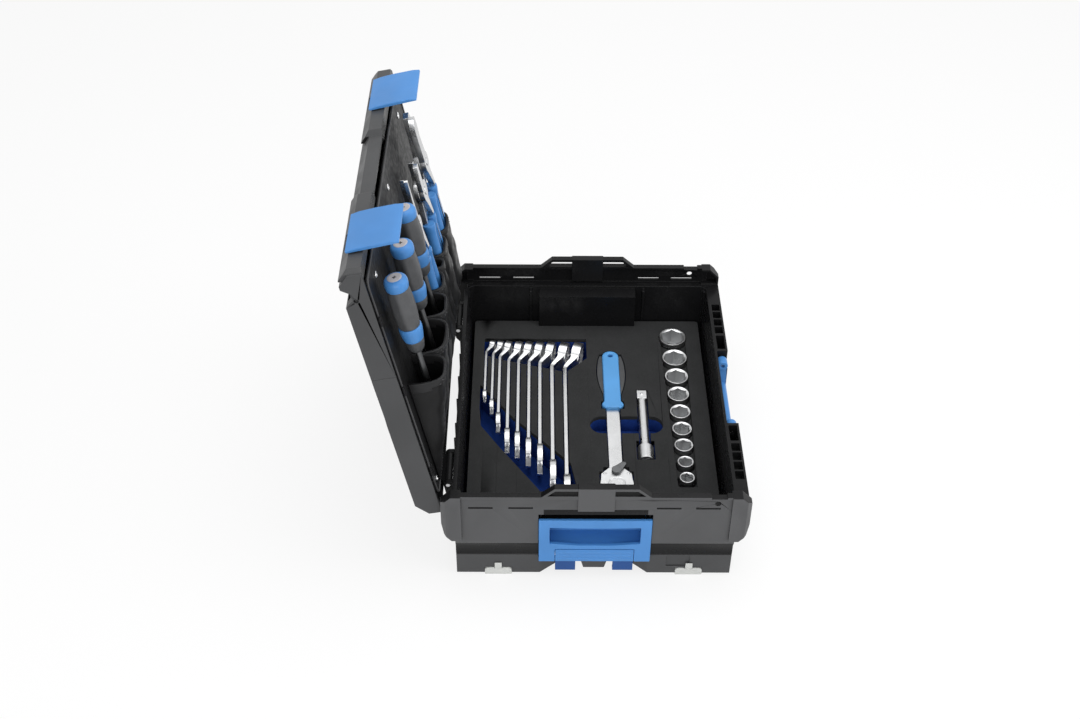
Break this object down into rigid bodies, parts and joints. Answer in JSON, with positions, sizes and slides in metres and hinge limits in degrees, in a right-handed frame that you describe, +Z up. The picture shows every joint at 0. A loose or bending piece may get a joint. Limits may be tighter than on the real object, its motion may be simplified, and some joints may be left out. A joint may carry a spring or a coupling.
{
  "type": "socket wrench set in case",
  "caption": "Open stackable tool case with a foam tray of combination wrenches, sockets and a ratchet, and a pocketed lid with screwdrivers and pliers.",
  "frame": {"origin": "centre of the case's footprint, on the floor that the feet stand on", "axes": "+X along the hinge, -Y towards the latches and the front handle, +Z up"},
  "size_m": [0.442, 0.4496, 0.4619],
  "materials": {
    "black_plastic": "fine grained, unpainted",
    "blue_plastic": "smooth satin",
    "deep_blue_plastic": "smooth satin",
    "light_plastic": "smooth satin",
    "pin_steel": "drawn wire",
    "dark_foam": "closed-cell foam skin",
    "blue_foam": "cut closed-cell foam",
    "pocket_cloth": "woven cloth over board",
    "grey_grip": "matte",
    "lever_steel": "satin",
    "tool_chrome": "satin chrome"
  },
  "bodies": {
    "base": {"base_shell": "black_plastic", "feet": "light_plastic", "base_pins": "pin_steel", "side_grip_left": "blue_plastic", "side_grip_right": "blue_plastic", "foam_top": "dark_foam", "foam_ribs": "dark_foam", "foam_base": "blue_foam"},
    "lid": {"lid_shell": "black_plastic", "tool_board": "pocket_cloth", "board_rivets": "pin_steel", "board_clips": "black_plastic", "pocket_row": "pocket_cloth", "lid_pins": "pin_steel"},
    "left_latch": {"latch_left": "blue_plastic"},
    "right_latch": {"latch_right": "blue_plastic"},
    "lid_carry_handle": {"lid_handle": "blue_plastic"},
    "front_carry_handle": {"front_handle": "blue_plastic"},
    "left_release": {"side_lever_left": "deep_blue_plastic"},
    "right_release": {"side_lever_right": "deep_blue_plastic"},
    "ratchet": {"ratchet_body": "tool_chrome", "ratchet_handle": "blue_plastic", "ratchet_grip": "grey_grip", "ratchet_cover": "tool_chrome"},
    "ratchet_switch": {"ratchet_lever": "lever_steel"},
    "ratchet_square": {"ratchet_drive": "tool_chrome"},
    "extension": {"extension_bar": "tool_chrome"},
    "wrench_1_tool": {"wrench_1": "tool_chrome"},
    "wrench_2_tool": {"wrench_2": "tool_chrome"},
    "wrench_3_tool": {"wrench_3": "tool_chrome"},
    "wrench_4_tool": {"wrench_4": "tool_chrome"},
    "wrench_5_tool": {"wrench_5": "tool_chrome"},
    "wrench_6_tool": {"wrench_6": "tool_chrome"},
    "wrench_7_tool": {"wrench_7": "tool_chrome"},
    "wrench_8_tool": {"wrench_8": "tool_chrome"},
    "wrench_9_tool": {"wrench_9": "tool_chrome"},
    "socket_1_tool": {"socket_1": "tool_chrome"},
    "socket_2_tool": {"socket_2": "tool_chrome"},
    "socket_3_tool": {"socket_3": "tool_chrome"},
    "socket_4_tool": {"socket_4": "tool_chrome"},
    "socket_5_tool": {"socket_5": "tool_chrome"},
    "socket_6_tool": {"socket_6": "tool_chrome"},
    "socket_7_tool": {"socket_7": "tool_chrome"},
    "socket_8_tool": {"socket_8": "tool_chrome"},
    "socket_9_tool": {"socket_9": "tool_chrome"},
    "screwdriver_1": {"screwdriver_handle_1": "grey_grip", "screwdriver_blade_1": "tool_chrome"},
    "screwdriver_2": {"screwdriver_handle_2": "grey_grip", "screwdriver_blade_2": "tool_chrome"},
    "screwdriver_3": {"screwdriver_handle_3": "grey_grip", "screwdriver_blade_3": "tool_chrome"},
    "pump_pliers": {"pump_pliers_left": "tool_chrome", "pump_pliers_right": "tool_chrome", "pump_pliers_sleeves": "blue_plastic"},
    "combination_pliers": {"combination_pliers_left": "tool_chrome", "combination_pliers_right": "tool_chrome", "combination_pliers_sleeves": "blue_plastic"},
    "long_nose_pliers": {"long_nose_pliers_left": "tool_chrome", "long_nose_pliers_right": "tool_chrome", "long_nose_pliers_sleeves": "blue_plastic"}
  },
  "joints": [
    {"name": "lid_hinge", "type": "hinge", "parent": "base", "child": "lid", "pos_m": [0, 0.172, 0.1066], "axis": [-1, 0, 0], "range_deg": [-101.2, 0]},
    {"name": "left_latch_hinge", "type": "hinge", "parent": "lid", "child": "left_latch", "pos_m": [-0.139, 0.26008, 0.44127], "axis": [-1, 0, 0], "range_deg": [-3, 50]},
    {"name": "right_latch_hinge", "type": "hinge", "parent": "lid", "child": "right_latch", "pos_m": [0.139, 0.26008, 0.44127], "axis": [-1, 0, 0], "range_deg": [-3, 50]},
    {"name": "lid_handle_hinge", "type": "hinge", "parent": "lid", "child": "lid_carry_handle", "pos_m": [0, 0.23529, 0.28776], "axis": [1, 0, 0], "range_deg": [0, 100]},
    {"name": "front_handle_hinge", "type": "hinge", "parent": "base", "child": "front_carry_handle", "pos_m": [0, -0.1715, 0.099], "axis": [-1, 0, 0], "range_deg": [0, 92]},
    {"name": "right_release_hinge", "type": "hinge", "parent": "base", "child": "right_release", "pos_m": [0.2145, 0, 0.04], "axis": [0, -1, 0], "range_deg": [0, 9], "stiffness_Nm_per_rad": 0.6},
    {"name": "left_release_hinge", "type": "hinge", "parent": "base", "child": "left_release", "pos_m": [-0.2145, 0, 0.04], "axis": [0, 1, 0], "range_deg": [0, 9], "stiffness_Nm_per_rad": 0.6},
    {"name": "ratchet_lift", "type": "slide", "parent": "base", "child": "ratchet", "axis": [0, 0, 1], "range_m": [0, 0.08]},
    {"name": "ratchet_switch_pivot", "type": "hinge", "parent": "ratchet", "child": "ratchet_switch", "pos_m": [-0.0995, -0.03, 0.0605], "axis": [0, 0, 1], "range_deg": [0, 80]},
    {"name": "ratchet_square_spin", "type": "hinge", "parent": "ratchet", "child": "ratchet_square", "pos_m": [-0.12, -0.03, 0.04], "axis": [0, 0, 1], "continuous": true},
    {"name": "extension_lift", "type": "slide", "parent": "base", "child": "extension", "axis": [0, 0, 1], "range_m": [0, 0.08]},
    {"name": "wrench_1_lift", "type": "slide", "parent": "base", "child": "wrench_1_tool", "axis": [0, 0, 1], "range_m": [0, 0.08]},
    {"name": "wrench_2_lift", "type": "slide", "parent": "base", "child": "wrench_2_tool", "axis": [0, 0, 1], "range_m": [0, 0.08]},
    {"name": "wrench_3_lift", "type": "slide", "parent": "base", "child": "wrench_3_tool", "axis": [0, 0, 1], "range_m": [0, 0.08]},
    {"name": "wrench_4_lift", "type": "slide", "parent": "base", "child": "wrench_4_tool", "axis": [0, 0, 1], "range_m": [0, 0.08]},
    {"name": "wrench_5_lift", "type": "slide", "parent": "base", "child": "wrench_5_tool", "axis": [0, 0, 1], "range_m": [0, 0.08]},
    {"name": "wrench_6_lift", "type": "slide", "parent": "base", "child": "wrench_6_tool", "axis": [0, 0, 1], "range_m": [0, 0.08]},
    {"name": "wrench_7_lift", "type": "slide", "parent": "base", "child": "wrench_7_tool", "axis": [0, 0, 1], "range_m": [0, 0.08]},
    {"name": "wrench_8_lift", "type": "slide", "parent": "base", "child": "wrench_8_tool", "axis": [0, 0, 1], "range_m": [0, 0.08]},
    {"name": "wrench_9_lift", "type": "slide", "parent": "base", "child": "wrench_9_tool", "axis": [0, 0, 1], "range_m": [0, 0.08]},
    {"name": "socket_1_lift", "type": "slide", "parent": "base", "child": "socket_1_tool", "axis": [0, 0, 1], "range_m": [0, 0.08]},
    {"name": "socket_2_lift", "type": "slide", "parent": "base", "child": "socket_2_tool", "axis": [0, 0, 1], "range_m": [0, 0.08]},
    {"name": "socket_3_lift", "type": "slide", "parent": "base", "child": "socket_3_tool", "axis": [0, 0, 1], "range_m": [0, 0.08]},
    {"name": "socket_4_lift", "type": "slide", "parent": "base", "child": "socket_4_tool", "axis": [0, 0, 1], "range_m": [0, 0.08]},
    {"name": "socket_5_lift", "type": "slide", "parent": "base", "child": "socket_5_tool", "axis": [0, 0, 1], "range_m": [0, 0.08]},
    {"name": "socket_6_lift", "type": "slide", "parent": "base", "child": "socket_6_tool", "axis": [0, 0, 1], "range_m": [0, 0.08]},
    {"name": "socket_7_lift", "type": "slide", "parent": "base", "child": "socket_7_tool", "axis": [0, 0, 1], "range_m": [0, 0.08]},
    {"name": "socket_8_lift", "type": "slide", "parent": "base", "child": "socket_8_tool", "axis": [0, 0, 1], "range_m": [0, 0.08]},
    {"name": "socket_9_lift", "type": "slide", "parent": "base", "child": "socket_9_tool", "axis": [0, 0, 1], "range_m": [0, 0.08]},
    {"name": "screwdriver_1_pull", "type": "slide", "parent": "lid", "child": "screwdriver_1", "axis": [0, 0.1942, 0.981], "range_m": [0, 0.04]},
    {"name": "screwdriver_2_pull", "type": "slide", "parent": "lid", "child": "screwdriver_2", "axis": [0, 0.1942, 0.981], "range_m": [0, 0.1]},
    {"name": "screwdriver_3_pull", "type": "slide", "parent": "lid", "child": "screwdriver_3", "axis": [0, 0.1942, 0.981], "range_m": [0, 0.1]},
    {"name": "pump_pliers_pull", "type": "slide", "parent": "lid", "child": "pump_pliers", "axis": [0, 0.1942, 0.981], "range_m": [0, 0.022]},
    {"name": "combination_pliers_pull", "type": "slide", "parent": "lid", "child": "combination_pliers", "axis": [0, 0.1942, 0.981], "range_m": [0, 0.1]},
    {"name": "long_nose_pliers_pull", "type": "slide", "parent": "lid", "child": "long_nose_pliers", "axis": [0, 0.1942, 0.981], "range_m": [0, 0.1]}
  ]
}
